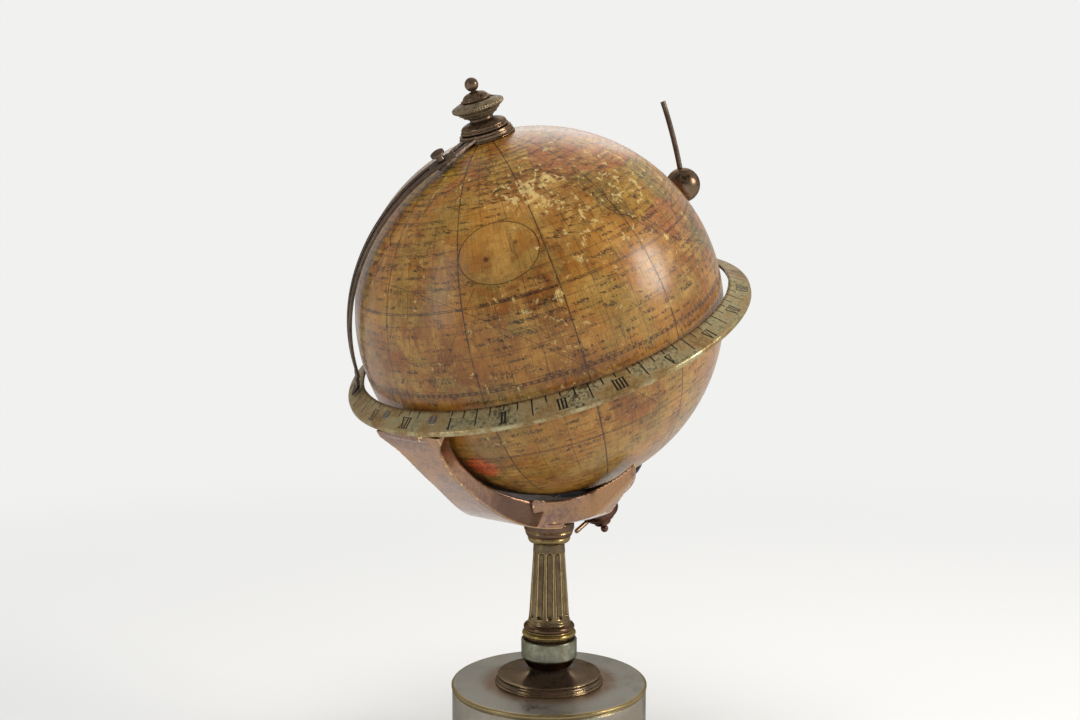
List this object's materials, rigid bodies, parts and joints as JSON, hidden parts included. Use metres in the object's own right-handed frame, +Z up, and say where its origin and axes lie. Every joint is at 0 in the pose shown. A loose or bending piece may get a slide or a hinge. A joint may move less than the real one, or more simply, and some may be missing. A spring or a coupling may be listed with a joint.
{
  "type": "globe clock",
  "caption": "Table clock: a papered globe turns daily on a leaning axle inside a tilted hour ring, with a slotted hand, finial, winding knob, minute dial, fluted column and drum base.",
  "frame": {"origin": "centre of the base's underside, on the column's axis", "axes": "+Z up the column; the globe's north pole leans to -X, over the low side of the hour ring; +Y completes the right-handed frame"},
  "size_m": [0.1598, 0.173, 0.2956],
  "materials": {
    "felt": "felt",
    "base_brass": "satin, turned",
    "steel": "turned",
    "dark_steel": "turned, darkened",
    "drum": "satin, toned grey-brown",
    "foot": "toned red-brown",
    "column": "polished with dark patina",
    "bronze": "polished copper bronze",
    "ring": "silvered and worn",
    "dark_bronze": "dark bronze",
    "dial": "dark lacquer",
    "blued": "blued steel",
    "movement": "polished",
    "lead": "as cast",
    "globe_paper": "varnished printed paper, aged"
  },
  "bodies": {
    "base": {"felt_pad": "felt", "base_plate": "base_brass", "base_screws": "steel", "drum_shell": "drum", "ballast_disc": "lead", "foot_disc": "foot", "steel_collar": "dark_steel", "base_moulding": "column", "column_shaft": "column", "capital": "column", "tie_rod": "steel", "tie_nut": "steel", "tie_washer": "steel", "bracket": "bronze", "hour_ring": "ring", "ring_screws": "ring", "axle": "steel", "axle_collar": "steel", "sun_wheel": "movement", "minute_dial": "dial"},
    "minute": {"minute_pipe": "movement", "minute_hand": "blued"},
    "knob": {"lower_knob": "dark_bronze", "cross_bar": "dark_bronze"},
    "globe": {"north_shell": "globe_paper", "south_shell": "globe_paper", "equator_band": "movement", "pole_bush": "dark_bronze", "south_bush": "dark_bronze", "winding_bush": "dark_bronze", "winding_case": "movement", "back_plate": "movement", "front_plate": "movement", "plate_pillars": "movement", "movement_feet": "movement", "barrel_arbor": "steel", "ratchet_wheel": "steel", "click": "steel", "escapement_unit": "movement", "balance_cock": "movement"},
    "idler": {"idler_arbor": "steel", "idler_wheel": "movement"},
    "centre": {"centre_arbor": "steel", "centre_wheel": "movement"},
    "barrel": {"barrel": "movement", "barrel_cover": "movement", "mainspring": "blued"},
    "hand": {"hand_hub": "blued"},
    "pointer": {"hand_pointer": "blued"},
    "thumbscrew": {"thumbscrew": "blued"},
    "clamp": {"finial_bell": "dark_bronze", "knurled_nut": "dark_bronze", "finial_cap": "dark_bronze"},
    "winding": {"winding_ball": "dark_bronze", "winding_lever": "blued", "winding_arbor": "steel"},
    "balance": {"balance_wheel": "movement"}
  },
  "joints": [
    {"name": "globe_turn", "type": "hinge", "parent": "base", "child": "globe", "pos_m": [-0.006, 0, 0.2043], "axis": [-0.3987, 0, 0.9171], "continuous": true},
    {"name": "minute_turn", "type": "hinge", "parent": "base", "child": "minute", "pos_m": [-0.006, 0, 0.2043], "axis": [-0.3987, 0, 0.9171], "continuous": true},
    {"name": "idler_turn", "type": "hinge", "parent": "globe", "child": "idler", "pos_m": [0.02969, 0.00771, 0.1871], "axis": [-0.3987, 0, 0.9171], "continuous": true},
    {"name": "centre_turn", "type": "hinge", "parent": "globe", "child": "centre", "pos_m": [0.01781, 0.01527, 0.18193], "axis": [-0.3987, 0, 0.9171], "continuous": true},
    {"name": "barrel_turn", "type": "hinge", "parent": "globe", "child": "barrel", "pos_m": [0.03354, -0.01592, 0.18877], "axis": [-0.3987, 0, 0.9171], "continuous": true},
    {"name": "hand_set", "type": "hinge", "parent": "globe", "child": "hand", "pos_m": [-0.0371, 0, 0.27583], "axis": [-0.3987, 0, 0.9171], "range_deg": [-140, 140]},
    {"name": "pointer_swing", "type": "hinge", "parent": "hand", "child": "pointer", "pos_m": [-0.0592, 0, 0.26134], "axis": [-0.682, 0, 0.7314], "range_deg": [-20, 1]},
    {"name": "thumbscrew_turn", "type": "hinge", "parent": "pointer", "child": "thumbscrew", "pos_m": [-0.0592, 0, 0.26134], "axis": [-0.682, 0, 0.7314], "range_deg": [-180, 180]},
    {"name": "clamp_turn", "type": "hinge", "parent": "globe", "child": "clamp", "pos_m": [-0.03989, 0, 0.28225], "axis": [-0.3987, 0, 0.9171], "range_deg": [-180, 180]},
    {"name": "winding_turn", "type": "hinge", "parent": "globe", "child": "winding", "pos_m": [0.04402, -0.03453, 0.25631], "axis": [0.6253, -0.4316, 0.6502], "continuous": true},
    {"name": "knob_turn", "type": "hinge", "parent": "base", "child": "knob", "pos_m": [0.03308, 0, 0.11442], "axis": [-0.3987, 0, 0.9171], "range_deg": [-180, 180]},
    {"name": "balance_swing", "type": "hinge", "parent": "globe", "child": "balance", "pos_m": [-0.03259, 0.02061, 0.19273], "axis": [-0.3987, 0, 0.9171], "range_deg": [-135, 135], "stiffness_Nm_per_rad": 0.000014}
  ],
  "couplings": [
    {"joint": "minute_turn", "follows": "globe_turn", "ratio": 24},
    {"joint": "idler_turn", "follows": "globe_turn", "ratio": 5.75},
    {"joint": "centre_turn", "follows": "globe_turn", "ratio": -23},
    {"joint": "barrel_turn", "follows": "globe_turn", "ratio": -1.15}
  ]
}
